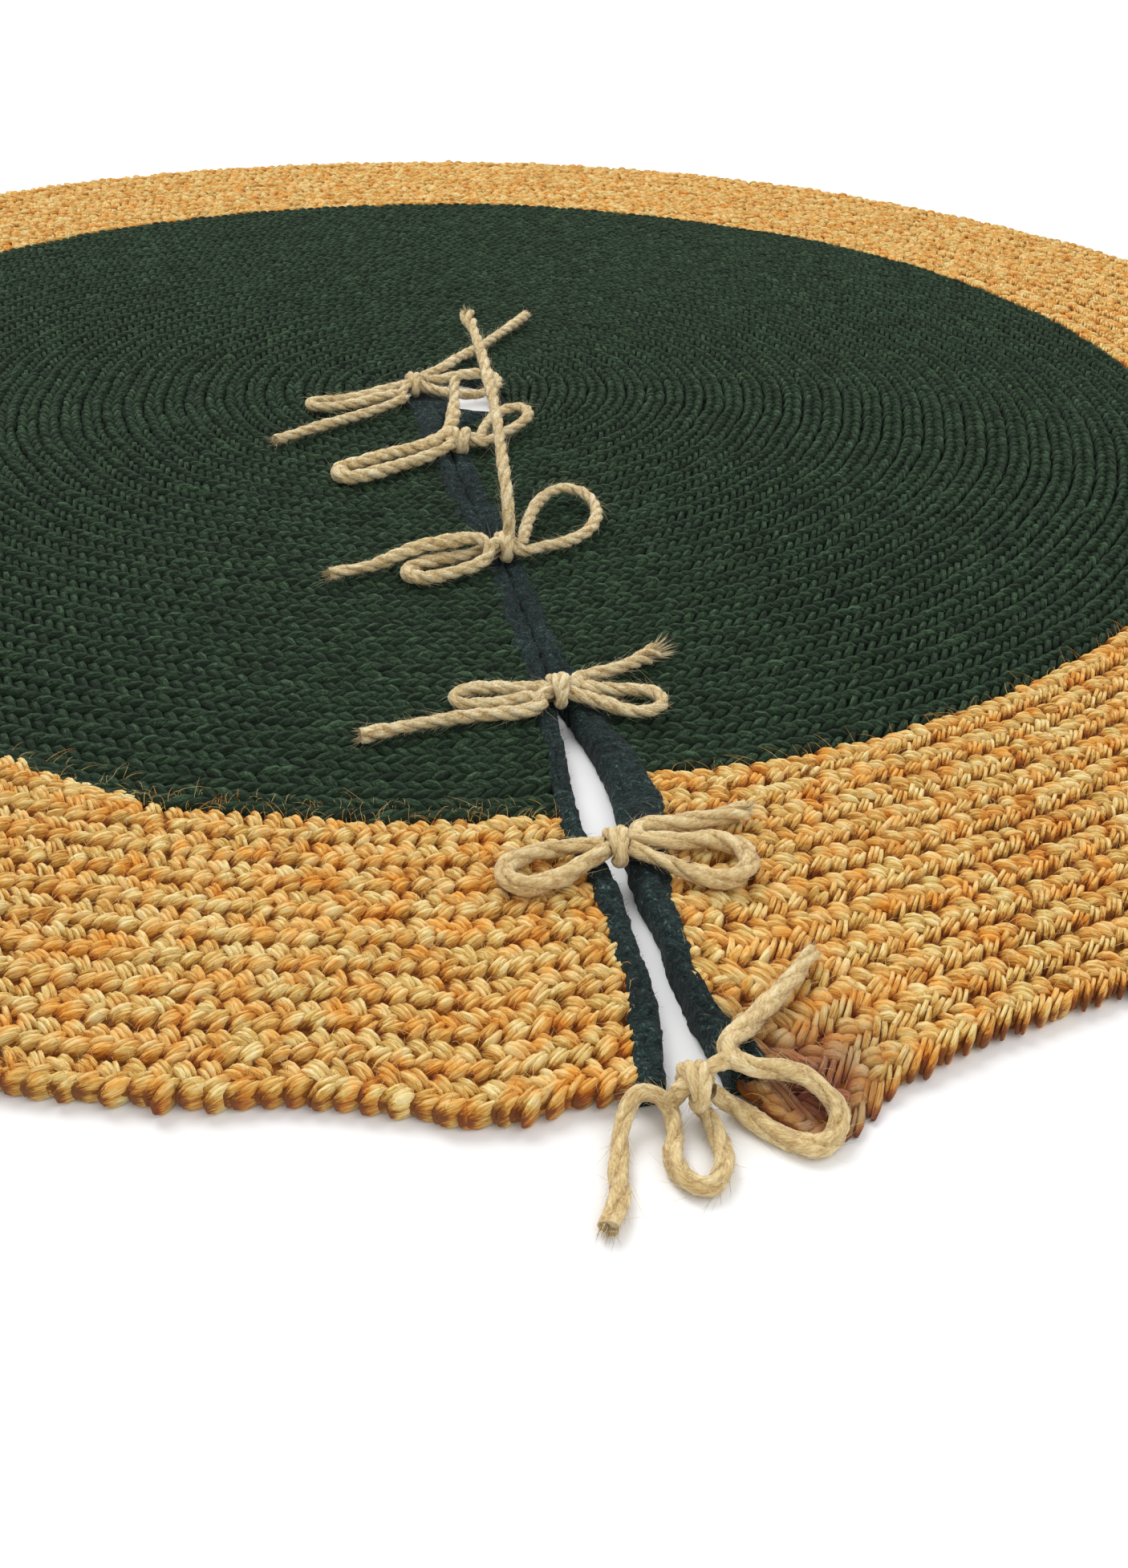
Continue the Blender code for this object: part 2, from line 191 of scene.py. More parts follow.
def principled(name, sockets):
    """A new material with plain values on its shader, its node tree and the shader."""
    material = bpy.data.materials.new(name)
    material.use_nodes = True
    shader = material.node_tree.nodes["Principled BSDF"]
    for socket, value in sockets.items():
        shader.inputs[socket].default_value = value
    return material, material.node_tree, shader


def add_node(tree, kind, inputs, **settings):
    """A node with its settings, and with values or other nodes' outputs on its inputs."""
    node = tree.nodes.new("ShaderNode" + kind)
    for key, value in settings.items():
        setattr(node, key, value)
    for key, value in inputs.items():
        if isinstance(value, bpy.types.NodeSocket):
            tree.links.new(value, node.inputs[key])
        else:
            node.inputs[key].default_value = value
    return node


def attribute(tree, name, output="Fac"):
    return add_node(tree, "Attribute", {}, attribute_name=name).outputs[output]


def maths(tree, operation, a, b, clamp=False):
    return add_node(tree, "Math", {0: a, 1: b}, operation=operation, use_clamp=clamp).outputs[0]


def swing(tree, noise, size):
    """Noise made to swing round zero."""
    return maths(tree, "MULTIPLY", maths(tree, "SUBTRACT", noise, 0.5), size)


def ramp(tree, factor, stops):
    node = add_node(tree, "ValToRGB", {"Fac": factor})
    elements = node.color_ramp.elements
    while len(elements) > 1:
        elements.remove(elements[-1])
    elements[0].position, elements[0].color = stops[0][0], linear(stops[0][1])
    for position, colour in stops[1:]:
        elements.new(position).color = linear(colour)
    return node.outputs["Color"]


def noise_at(tree, place, scale, detail=2.0, roughness=0.5):
    inputs = {"Vector": place, "Scale": scale, "Detail": detail, "Roughness": roughness}
    return add_node(tree, "TexNoise", inputs).outputs["Fac"]


def fibre_noise(tree, strand, stretch, detail):
    """Noise drawn out along the strand: its first axis runs along the fibres."""
    mapping = add_node(tree, "Mapping", {"Vector": strand, "Scale": stretch})
    return noise_at(tree, mapping.outputs["Vector"], 1.0, detail, 0.6)


def object_place(tree):
    return add_node(tree, "TexCoord", {}).outputs["Object"]


def tinted(tree, factor, colour, other, blend):
    """The colour mixed with another one by a factor."""
    inputs = {"Factor": factor, "A": colour, "B": linear(other)}
    return add_node(tree, "Mix", inputs, data_type="RGBA", blend_type=blend).outputs["Result"]


def yarn_material(name, stops, spread, patch=None, red_patch=None, roughness=0.85, bump=0.6, bump_mm=0.5,
                  stretch=(0.35, 2.2, 2.2), sheen=0.25, sheen_tint=(1, 1, 1, 1)):
    """Spun fibre: a colour ramp read by each strand's own tint and by noise drawn out along it."""
    material, tree, shader = principled(name, {
        "Roughness": roughness, "Specular IOR Level": 0.2, "Sheen Weight": sheen, "Sheen Roughness": 0.6,
        "Sheen Tint": sheen_tint})
    strand = attribute(tree, "strand", "Vector")
    fibres = fibre_noise(tree, strand, stretch, 3.0)
    clumps = fibre_noise(tree, strand, (0.16, 0.7, 0.7), 2.0)
    factor = maths(tree, "ADD", attribute(tree, "tint"), swing(tree, fibres, spread))
    factor = maths(tree, "ADD", factor, swing(tree, clumps, spread * 0.7), clamp=True)
    colour = ramp(tree, factor, stops)
    if patch:
        noise = noise_at(tree, object_place(tree), 110.0, 4.0)
        where = maths(tree, "MULTIPLY", maths(tree, "SUBTRACT", noise, 0.40), 3.6, clamp=True)
        colour = tinted(tree, where, colour, patch, "MULTIPLY")
    # Where a patch is given per point, the colour is mixed towards another one through the fibre noise.
    if red_patch:
        share = maths(tree, "ADD", fibres, 0.25)
        share = maths(tree, "MULTIPLY", attribute(tree, "red_patch"), share, clamp=True)
        colour = tinted(tree, share, colour, red_patch, "MIX")
    tree.links.new(colour, shader.inputs["Base Color"])
    relief = add_node(tree, "Bump", {"Strength": bump, "Distance": bump_mm * MM, "Height": fibres})
    tree.links.new(relief.outputs["Normal"], shader.inputs["Normal"])
    return material


def gap_shade_material():
    """The colour seen between the strands, all painted shade: brown under the jute and near black under the
    green.
    """
    material, tree, shader = principled("braid gap shade", {"Roughness": 0.95, "Specular IOR Level": 0.1})
    shade = swing(tree, noise_at(tree, object_place(tree), 900.0), 0.3)
    colour = ramp(tree, maths(tree, "ADD", attribute(tree, "tint"), shade, clamp=True), GAP_SHADE_STOPS)
    tree.links.new(colour, shader.inputs["Base Color"])
    return material


JUTE_STOPS = (
    (0.0, (122, 70, 22)), (0.25, (168, 110, 36)), (0.5, (206, 159, 72)), (0.75, (229, 196, 114)),
    (1.0, (244, 224, 164)),
)
GREEN_STOPS = ((0.0, (10, 17, 11)), (0.35, (24, 38, 24)), (0.7, (40, 60, 40)), (1.0, (74, 100, 74)))
FELT_STOPS = ((0.0, (7, 12, 13)), (0.4, (18, 36, 35)), (0.7, (32, 58, 55)), (1.0, (98, 114, 116)))
TWINE_STOPS = ((0.0, (108, 78, 36)), (0.3, (180, 146, 90)), (0.6, (220, 194, 138)), (1.0, (250, 238, 202)))
# Painted shade: the dark colours seen in the gaps between the strands, brown under the jute and near black
# under the green.
GAP_SHADE_STOPS = ((0.0, (10, 15, 10)), (0.4, (18, 27, 19)), (0.6, (96, 56, 20)), (1.0, (140, 86, 34)))

# Each look is a material and the record's slot that it stands for.
JUTE_LOOK = (yarn_material("jute yarn", JUTE_STOPS, 1.65, patch=(255, 203, 124), red_patch=(124, 62, 50),
                           bump=0.9, stretch=(0.3, 2.6, 2.6), sheen=0.08), "jute_braid")
GREEN_LOOK = (yarn_material("green yarn", GREEN_STOPS, 1.7, stretch=(0.8, 2.4, 2.4), bump=0.9, sheen=0.02,
                            sheen_tint=(0.6, 0.8, 0.6, 1)), "green_braid")
FELT_LOOK = (yarn_material("felt", FELT_STOPS, 1.9, stretch=(1.0, 1.0, 1.0), roughness=0.95, bump=1.0,
                           bump_mm=0.9, sheen=0.05), "felt_binding")
TWINE_LOOK = (yarn_material("jute twine", TWINE_STOPS, 1.7, stretch=(0.2, 3.4, 3.4), bump=1.0), "jute_twine")
SOFT_LOOK = (yarn_material("soft twine", TWINE_STOPS, 1.0, stretch=(0.12, 2.4, 2.4), bump=0.8), "jute_twine")
GAP_SHADE_LOOK = (gap_shade_material(), "green_braid")


# ---- slit shape

# The felt strips' edges as (y, x) along the slit. The slit wanders, and gapes beside the fifth bow.
INNER_EDGE = {
    "left": (
        (4, 2), (-22, 0.4), (-40, -6.8), (-60, -9.8), (-100, -9.4), (-125, -9.8), (-150, -7.4),
        (-176, -5.2), (-210, -3.2), (-260, -2.2), (-300, -2.4), (-325, -4.5), (-350, -6.6), (-380, -8.6),
        (-398, -8.8), (-410, -5.6), (-425, -4.2), (-440, -4.8), (-471, -5.4), (-483, -6.8), (-494, -9.2),
        (-502, -10.5),
    ),
    "right": (
        (4, 3), (-22, 2.6), (-40, -6.2), (-60, -9.4), (-100, -9.2), (-125, -9.6), (-150, -7.2), (-176, -5),
        (-210, -3), (-260, -2), (-300, -2), (-325, 0.8), (-348, 2.6), (-367, 5.2), (-386, 5.2), (-400, 3.2),
        (-412, 1), (-429, 1.2), (-443, 2.8), (-460, 2.2), (-474, 2.8), (-486, 4.8), (-495, 6.2), (-502, 7),
    ),
}
OUTER_EDGE = {
    "left": (
        (4, -11.5), (-10, -15), (-24, -19), (-55, -18), (-90, -16.5), (-125, -15), (-155, -14),
        (-185, -10.5), (-210, -8.6), (-300, -8.4), (-340, -9.6), (-362, -10.6), (-378, -12.4), (-400, -13),
        (-418, -9.4), (-440, -8.8), (-468, -10.4), (-481, -12), (-498, -15),
    ),
    "right": (
        (-22, 8), (-40, 2), (-60, -3.4), (-125, -3.2), (-155, 1), (-176, 0.6), (-210, 2.6), (-300, 4.6),
        (-335, 10.4), (-350, 13), (-363, 14.6), (-384, 17), (-400, 15.6), (-415, 10.5), (-430, 7.4),
        (-455, 6.4), (-470, 7), (-478, 12), (-484, 16.5), (-490, 15), (-497, 10.5), (-502, 10),
    ),
}
OPEN_HALF = 0.12
FELT_SEED = {"left": 3, "right": 8}
GAP_SEED = {"left": 5, "right": 11}


def keyed(y, table):
    """A value read along the slit from (y, value) keys, y falling."""
    keys = np.array(table, float)[::-1]
    return np.interp(y, keys[:, 0], keys[:, 1])


def ripple(t, seed, size):
    """A smooth wobble along one coordinate."""
    s = np.zeros_like(np.asarray(t, float))
    for i, length in enumerate((61.0, 29.0, 13.0, 6.5, 3.7)):
        s = s + np.sin(t * TURN / length + seed * 1.7 + i * 2.3) / (i + 1.5)
    return s * size


def felt_edge(side, y):
    return keyed(y, OUTER_EDGE[side]) + ripple(y, FELT_SEED[side], 0.8)


def gap_edge(side, y):
    """The felt's edge at the gap. The two strips touch where the slit is closed, and never cross."""
    left, right = (keyed(y, INNER_EDGE[name]) for name in SIDES)
    open_half = np.maximum((right - left) / 2, OPEN_HALF)
    rough = ripple(y, GAP_SEED[side], 0.35) * np.clip(open_half - OPEN_HALF, 0, 1)
    return (left + right) / 2 + SIGN[side] * np.maximum(open_half + rough, OPEN_HALF)


def beyond_felt(side, x, y, margin):
    """Which points lie on their own side of the slit, clear of the felt strip."""
    return SIGN[side] * (x - felt_edge(side, y)) > margin


# ---- strands

def strand_body(rings, sides, last_ring, blunt):
    """A unit strand along x: its points (along, across, up) and triangles.

    Its end at -1 is the blunter one, at the row's edge. Its end at 1 is at the row's middle.
    """
    along = np.linspace(-last_ring, last_ring, rings)
    radius = np.sqrt(1 - np.abs(along) ** np.where(along < 0, blunt, 2.4))
    turn = (np.arange(sides) + 0.5) * TURN / sides + math.pi / 2
    across = np.sign(np.cos(turn)) * np.abs(np.cos(turn)) ** 0.85
    up = np.sign(np.sin(turn)) * np.abs(np.sin(turn)) ** 0.85
    points = [(-1.0, 0.0, 0.0)]
    for u, f in zip(along, radius):
        points += [(u, f * b, f * c) for b, c in zip(across, up)]
    points.append((1.0, 0.0, 0.0))
    faces = []
    last = len(points) - 1
    for k in range(sides):
        n = (k + 1) % sides
        faces.append((0, 1 + n, 1 + k))
        faces.append((last, last - sides + k, last - sides + n))
        for i in range(rings - 1):
            a, b = 1 + i * sides + k, 1 + i * sides + n
            faces.append((a, b, b + sides))
            faces.append((a, b + sides, a + sides))
    return np.array(points), np.array(faces)


# Middle and reach are shares of the row's width: where a strand's centre is, and half its breadth.
# Strands dip by end_dip at the row's edge. Two numbers set the painted shade in their tint: how much it
# follows height, and how dark the row's edge is.
GREEN = SimpleNamespace(
    width=GREEN_W, pitch=5.4, slant=0.52, slant_spread=0.09, middle=0.225, reach=0.275, bend=0.34,
    tint=0.52, tint_spread=0.07, yarns=(), body=strand_body(4, 6, 0.8, 3.0), end_dip=1.6, painted_shading=0.34,
    valley_shading=0.2, look=GREEN_LOOK)
JUTE = SimpleNamespace(
    width=JUTE_W, pitch=6.4, slant=0.68, slant_spread=0.10, middle=0.206, reach=0.258, bend=0.26,
    tint=0.70, tint_spread=0.06, yarns=(-1, 0, 1), body=strand_body(5, 6, 0.88, 4.5), end_dip=2.5,
    painted_shading=0.80, valley_shading=0.85, look=JUTE_LOOK)

# The reddish patch inside the last bow's loop: its middle, half width and half depth.
RED_PATCH_X, RED_PATCH_Y, RED_PATCH_WIDE, RED_PATCH_DEEP = 25, -487, 19, 18
KNOBS_FROM_R = 45


class Strands:
    """Strands of one braid, to be laid as one mesh."""

    def __init__(self, braid):
        self.braid = braid
        self.rows = []

    def add(self, centre, heading, half, bend, tint):
        self.rows.append((centre, heading, half, bend, tint))

    def arrays(self):
        centre, heading, half, bend, tint = (np.concatenate(column) for column in zip(*self.rows))
        unit, faces = self.braid.body
        n = len(centre)
        u, b, c = unit.T
        along = half[:, :1] * u[None]
        ahead = level(heading)
        aside = np.stack([-ahead[:, 1], ahead[:, 0]], 1)
        across = half[:, 1:2] * b[None]
        up = half[:, 2:] * c[None]
        sideways = half[:, :1] * (bend / 2)[:, None] * (u[None] ** 2 - 0.3) + across
        # A strand dives under its neighbour at the row's middle and turns down at the row's edge.
        dip = 1.0 * np.clip(u, 0, 1) ** 2 + self.braid.end_dip * np.clip(-u, 0, 1) ** 2
        xy = centre[:, None, :2] + along[..., None] * ahead[:, None] + sideways[..., None] * aside[:, None]
        z = centre[:, 2:] + (up - dip[None] * np.clip(c, 0, 1)[None])
        points = np.concatenate([xy, z[..., None]], 2).reshape(-1, 3)
        where = np.stack(np.broadcast_arrays(along, across, up), 2) + rng.uniform(-400, 400, (n, 1, 3))
        faces = (faces[None] + (np.arange(n) * len(unit))[:, None, None]).reshape(-1, 3)
        # Painted light and shade: tint is paler where a strand faces up or down and darker at its sides and
        # ends, most at its end at -1.
        edge = 0.35 * np.abs(u[None]) ** 3 + self.braid.valley_shading * np.clip(-u[None], 0, 1) ** 2
        shade = self.braid.painted_shading * (np.abs(c[None]) * 0.6 - 0.35 - edge)
        return points, faces, (tint[:, None] + shade).ravel(), where.reshape(-1, 3)


def strand_piece(name, strands, **rest):
    points, faces, tint, where = strands.arrays()
    # A reddish-brown patch of colour round the last bow's loop, given by place.
    red_patch = 1.3 * hump(points[:, 0] - RED_PATCH_X, RED_PATCH_WIDE) * hump(points[:, 1] - RED_PATCH_Y, RED_PATCH_DEEP)
    points = warp(points)
    points[:, 2] = np.maximum(points[:, 2], ON_FLOOR)
    obj = new_mesh(name, points, faces, {"tint": tint, "red_patch": red_patch}, {"strand": where})
    return finish_piece(obj, strands.braid.look, **rest)


def lay_row(strands, side, radius, width, span=None, taper=0):
    """One braid row's strands on one half of the mat, as chevrons that point anticlockwise.

    A taper of 1 draws the row in to its outer edge where its span ends, and -1 to its inner edge.
    """
    braid = strands.braid
    count = max(12, round(TURN * radius / braid.pitch))
    phase = rng.uniform(0, 1)
    step = TURN / count
    for column in (-1, 1):
        angle = (np.arange(count) + phase + (0.5 if column > 0 else 0.0)) * step
        angle = (angle + math.pi) % TURN - math.pi
        place = radius + column * width * braid.middle + rng.normal(0, 0.016 * width, count)
        turn = np.where(angle > math.pi / 2, angle - TURN, angle)
        full = np.ones(count)
        if taper:
            since = JUTE_START - turn if taper > 0 else turn - JUTE_START + JUTE_TAPER
            full = 0.12 + 0.88 * smooth(since, 0, JUTE_TAPER)
            place = radius + taper * width / 2 * (1 - full) + column * width * braid.middle * full
        x, y = np.cos(angle) * place, np.sin(angle) * place
        keep = np.where(y < 0, beyond_felt(side, x, y, 0.8), SIGN[side] * x >= 0)
        if span:
            keep &= (turn >= span[0]) & (turn < span[1])
        angle, x, y, full = angle[keep], x[keep], y[keep], full[keep]
        n = len(angle)
        if n == 0:
            continue
        lean = column * full * (braid.slant + rng.normal(0, braid.slant_spread, n))
        heading = angle + math.pi / 2 + lean
        length = width * braid.reach / math.sin(braid.slant) * rng.uniform(0.94, 1.1, n)
        across = braid.pitch * math.sin(braid.slant) / 2 * rng.uniform(1.06, 1.24, n)
        # Strands in the flared corner are wider, so that they still close up.
        across = across * (1 + 0.5 * hump(x - 36, 30) * smooth(radius, 420, 480) * (y < 0))
        high = THICK / 2 * rng.uniform(0.93, 1.04, n)
        bend = column * rng.normal(braid.bend, 0.08, n)
        tint = braid.tint + rng.normal(0, braid.tint_spread, n)
        xy = np.stack([x, y], 1)
        if not braid.yarns:
            strands.add(np.column_stack([xy, high]), heading, np.stack([length, across, high], 1), bend, tint)
        # A jute strand is several yarns side by side.
        ahead = level(heading)
        aside = np.stack([-ahead[:, 1], ahead[:, 0]], 1)
        for yarn in braid.yarns:
            off = yarn * across * 0.66
            slide = rng.normal(0, 0.7, n)
            spot = xy + off[:, None] * aside + slide[:, None] * ahead
            tall = high * rng.uniform(0.90, 1.05, n)
            long = length * rng.uniform(0.90, 1.08, n)
            half = np.stack([long, across * rng.uniform(0.34, 0.52, n), tall], 1)
            turned = heading + rng.normal(0, 0.11, n)
            strands.add(np.column_stack([spot, tall]), turned, half, bend, tint + rng.normal(0, 0.10, n))


def end_knobs(strands, side, radius, width):
    """The rounded turn of a row where it ends beside the felt."""
    edge = float(felt_edge(side, -radius))
    out = SIGN[side]
    for place in (-1, 0, 1):
        inset = 1.5 if place else 2.7
        x = edge + out * (inset + rng.normal(0, 0.5))
        heading = math.pi / 2 - out * 0.9 * place + rng.normal(0, 0.15)
        half = (width * 0.24, width * 0.16, 4.0 + rng.normal(0, 0.15))
        tint = strands.braid.tint + rng.normal(0, 0.06)
        row = ((x, place * 0.27 * width - radius, 4.1), heading, half, 0.0, tint)
        strands.add(*(np.array([value]) for value in row))


def band(name, prefix, braid, inner, count):
    """Rows side by side, as one piece for each half of the mat."""
    for side in SIDES:
        strands = Strands(braid)
        for i in range(count):
            radius = inner + (i + 0.5) * braid.width
            lay_row(strands, side, radius, braid.width)
            if radius > KNOBS_FROM_R:
                end_knobs(strands, side, radius, braid.width)
        strand_piece(f"{name}_{side}", strands, side=side, nodes=(f"{prefix}_main", f"{prefix}_{side}"))


def centre_row():
    strands = Strands(GREEN)
    for side in SIDES:
        lay_row(strands, side, HOLE_R + GREEN_W / 2 + 0.3, GREEN_W)
    strand_piece("green_rows_0", strands, body="skirt_main", nodes=("green_centre_row",))


def start_row(name, braid, side, nodes, knobs, **ends):
    """A stretch of the first jute row. Left of the slit the green braid still runs in its place."""
    radius = GREEN_R + JUTE_W / 2
    strands = Strands(braid)
    lay_row(strands, side, radius, JUTE_W, **ends)
    if knobs:
        end_knobs(strands, side, radius, JUTE_W)
    strand_piece(name, strands, side=side, nodes=nodes)


centre_row()
first = HOLE_R + GREEN_W
for i, rows in enumerate((7, 7, 7, 7, 6), 1):
    band(f"green_rows_{i}", f"green_braid_{i}", GREEN, first, rows)
    first += rows * GREEN_W
start_row("jute_rows_0_right", JUTE, "right", ("jute_start_row_main", "jute_start_row_right"), True)
start_row("jute_rows_0_left", JUTE, "left", ("jute_start_row_main", "jute_start_row_left"), False,
          span=(-10, JUTE_START), taper=1)
start_row("green_rows_6_left", GREEN, "left", ("green_end_row_left",), True,
          span=(JUTE_START - JUTE_TAPER, 10), taper=-1)
first = GREEN_R + JUTE_W
for i, rows in enumerate((4, 3, 3), 1):
    for part, count in (("a", 2), ("b", rows - 2)):
        band(f"jute_rows_{i}{part}", f"jute_braid_{i}", JUTE, first, count)
        first += count * JUTE_W


# ---- dark sheet under the strands, painted shade

def shade_sheet(side):
    """A dark sheet under the strands, one half of the mat: a thin grooved sheet, coloured as painted shade
    between the strands.
    """
    edges = [HOLE_R + 2.0]
    for inner, count, width in ((HOLE_R, GREEN_ROWS, GREEN_W), (GREEN_R, JUTE_ROWS, JUTE_W)):
        for i in range(count):
            edges += [inner + (i + 0.5) * width, inner + (i + 1) * width]
    radii = np.array(edges[:-1] + [RIM_R - 1.5])
    n, m = len(radii), 91
    share = np.linspace(0, 1, m)
    # The sheet stops under the felt strip, a little way back from the slit.
    edge = gap_edge(side, -radii) + SIGN[side] * 2.0
    slit_angle = SLIT + np.arcsin(np.clip(edge / radii, -0.9, 0.9))
    if side == "right":
        angle = slit_angle[:, None] + share[None] * (math.pi / 2 - slit_angle)[:, None]
    else:
        angle = math.pi / 2 + share[None] * (slit_angle + 1.5 * math.pi)[:, None]
    x, y = radii[:, None] * np.cos(angle), radii[:, None] * np.sin(angle)
    # It is thick at each row's middle and thin between the rows.
    at_middle = (np.arange(n) % 2 == 1)[:, None]
    top = np.where(at_middle, 6.2, 4.6) + 0 * x
    low = np.where(at_middle, 2.8, 3.9) + 0 * x
    kind = np.where(radii > GREEN_R + 0.5, 0.85, 0.15)[:, None] + 0 * x
    upper = np.stack([x, y, top], 2).reshape(-1, 3)
    lower = np.stack([x, y, low], 2).reshape(-1, 3)
    grid = np.arange(n * m).reshape(n, m)
    p, q, r, s = grid[:-1, :-1], grid[1:, :-1], grid[1:, 1:], grid[:-1, 1:]
    quads = np.stack([p, q, r, s], 2).reshape(-1, 4)
    flip = np.stack([p, s, r, q], 2).reshape(-1, 4) + n * m
    outline = np.concatenate([grid[0, :-1], grid[:-1, -1], grid[-1, :0:-1], grid[:0:-1, 0]])
    after = np.roll(outline, -1)
    rim = np.stack([outline, after, after + n * m, outline + n * m], 1)
    points, faces = warp(np.concatenate([upper, lower])), np.concatenate([quads, flip, rim])
    obj = new_mesh(f"backing_{side}", points, faces, {"tint": np.tile(kind.ravel(), 2)})
    return finish_piece(obj, GAP_SHADE_LOOK, side=side)


for side in SIDES:
    shade_sheet(side)


# ---- felt binding

def swept(rings):
    """Quads through a row of equal rings of points, with flat ends."""
    count, sides = rings.shape[:2]
    grid = np.arange(count * sides).reshape(count, sides)
    a, b = grid[:-1], grid[1:]
    faces = [np.stack([a, np.roll(a, -1, 1), np.roll(b, -1, 1), b], 2).reshape(-1, 4)]
    # Each end is closed by quads that run from one side of the ring to the other.
    for row, way in ((grid[0], 1), (grid[-1], -1)):
        for k in range(sides // 2 - 1):
            faces.append(np.array([[row[k], row[k + 1], row[sides - 2 - k], row[sides - 1 - k]][::way]]))
    return rings.reshape(-1, 3), np.concatenate(faces)


def soft_noise(rows, columns, blur):
    """Random heights smoothed down the rows, for lumps of wool."""
    field = rng.normal(0, 1, (rows + 4 * blur, columns))
    kernel = np.hanning(2 * blur + 1)
    kernel /= np.sqrt((kernel ** 2).sum())
    return np.stack([np.convolve(column, kernel, "same") for column in field.T], 1)[2 * blur:-2 * blur]


# The strip's section as (share of its width from the gap, share of its height).
SLIT_SECTION = (
    (0.0, 0.05), (-0.05, 0.33), (-0.02, 0.62), (0.05, 0.86), (0.16, 0.96), (0.30, 1.0), (0.45, 1.0),
    (0.60, 0.98), (0.74, 0.97), (0.88, 0.93), (0.98, 0.78), (1.0, 0.55), (1.0, 0.3), (0.9, 0.05),
)
# The ring's section as (radius, height).
HOLE_SECTION = (
    (HOLE_R, 0.5), (HOLE_R - 0.2, 3.4), (HOLE_R, 6.4), (HOLE_R + 0.6, 7.9), (23.9, 8.7), (25.2, 9.0),
    (26.4, 8.7), (27.2, 7.9), (27.4, 6.8), (26.6, 5.0), (25.6, 2.8), (24.8, 0.5),
)


def slit_felt(side):
    """The felt strip along one slit edge, lumpy and uneven in width."""
    y = np.arange(4.0 if side == "left" else -22.0, -501.5, -1.1)
    inner, outer = gap_edge(side, y), felt_edge(side, y) + SIGN[side] * 2.6
    height = 9.4 - 1.6 * smooth(-y, 110, 150) * (1 - smooth(-y, 300, 335)) - 1.2 * (1 - smooth(-y, 0, 34))
    count = len(SLIT_SECTION)
    lumps = soft_noise(len(y), count, 3) * 0.42 + soft_noise(len(y), count, 1) * 0.22
    rings = []
    for k, (u, v) in enumerate(SLIT_SECTION):
        z = v * height + lumps[:, k] * (v > 0.5)
        x = inner + u * (outer - inner) + 0.45 * lumps[:, (k + 5) % count]
        rings.append(np.stack([x, y, np.maximum(z, 0.05)], 1))
    points, faces = swept(np.stack(rings, 1))
    if side == "left":
        faces = faces[:, ::-1]
    tint = np.clip(0.36 + 0.16 * lumps.ravel() + 0.09 * np.sin(points[:, 1] / 9), 0, 1)
    points = warp(points)
    points[:, 1] = np.maximum(points[:, 1], -np.sqrt(RIM_R ** 2 - points[:, 0] ** 2) - 1.0)
    obj = new_mesh(f"slit_felt_{side}", points, faces, {"tint": tint}, {"strand": points})
    nodes = (f"slit_binding_{side}_edge", f"slit_binding_{side}_inner")
    return finish_piece(obj, FELT_LOOK, side=side, nodes=nodes)


def hole_felt():
    """The felt ring round the trunk hole, open where the right strip meets it."""
    angle = np.linspace(math.radians(-90 - 2), math.radians(270 - 32), 190)
    count = len(HOLE_SECTION)
    lumps = soft_noise(len(angle), count, 2) * 0.35
    rings = []
    for k, (r, z) in enumerate(HOLE_SECTION):
        radius = r + 0.4 * lumps[:, (k + 4) % count]
        tall = np.maximum(z + lumps[:, k] * (z > 5), 0.05)
        rings.append(np.stack([radius * np.cos(angle), radius * np.sin(angle), tall], 1))
    points, faces = swept(np.stack(rings, 1))
    tint = np.clip(0.32 + 0.16 * lumps.ravel(), 0, 1)
    obj = new_mesh("hole_felt", warp(points), faces, {"tint": tint}, {"strand": points})
    return finish_piece(obj, FELT_LOOK, body="skirt_main", nodes=("hole_binding",))


for side in SIDES:
    slit_felt(side)
hole_felt()


# ---- fine hairs

def hair_mesh(name, root, middle, tip, tint, thick, look, size=1.0, steps=4, **rest):
    """Fine tapering fibres, each bent through three points.

    Tint is a middle value and its spread. Thick is the range of a fibre's radius in sizes.
    """
    n = len(root)
    tints = np.clip(tint[0] + rng.normal(0, tint[1], n), 0, 1)
    radius = size * rng.uniform(*thick, n)
    t = np.linspace(0, 1, steps + 1)[:-1]
    curve = ((1 - t) ** 2)[None, :, None] * root[:, None] + (2 * t * (1 - t))[None, :, None] * middle[:, None]
    curve = curve + (t ** 2)[None, :, None] * tip[:, None]
    ahead = tip - root
    ahead /= np.maximum(np.linalg.norm(ahead, axis=1, keepdims=True), 1e-6)
    other = np.where(np.abs(ahead[:, 2:]) > 0.9, np.array([[1.0, 0, 0]]), np.array([[0, 0, 1.0]]))
    one = np.cross(ahead, other)
    one /= np.linalg.norm(one, axis=1, keepdims=True)
    two = np.cross(ahead, one)
    corners = [TURN * k / 3 for k in range(3)]
    ring = np.stack([math.cos(a) * one + math.sin(a) * two for a in corners], 1)
    radii = radius[:, None] * (1 - 0.75 * t)[None]
    body = curve[:, :, None] + radii[:, :, None, None] * ring[:, None]
    per = steps * 3 + 1
    points = np.concatenate([body.reshape(n, -1, 3), tip[:, None]], 1).reshape(-1, 3)
    faces = [(0, 2, 1)]
    for i in range(steps - 1):
        for k in range(3):
            a, b = i * 3 + k, i * 3 + (k + 1) % 3
            faces += [(a, b, b + 3), (a, b + 3, a + 3)]
    for k in range(3):
        faces.append(((steps - 1) * 3 + k, (steps - 1) * 3 + (k + 1) % 3, steps * 3))
    faces = (np.array(faces)[None] + (np.arange(n) * per)[:, None, None]).reshape(-1, 3)
    points[:, 2] = np.maximum(points[:, 2], ON_FLOOR)
    obj = new_mesh(name, points, faces, {"tint": np.repeat(tints, per)}, {"strand": points})
    return finish_piece(obj, look, **rest)


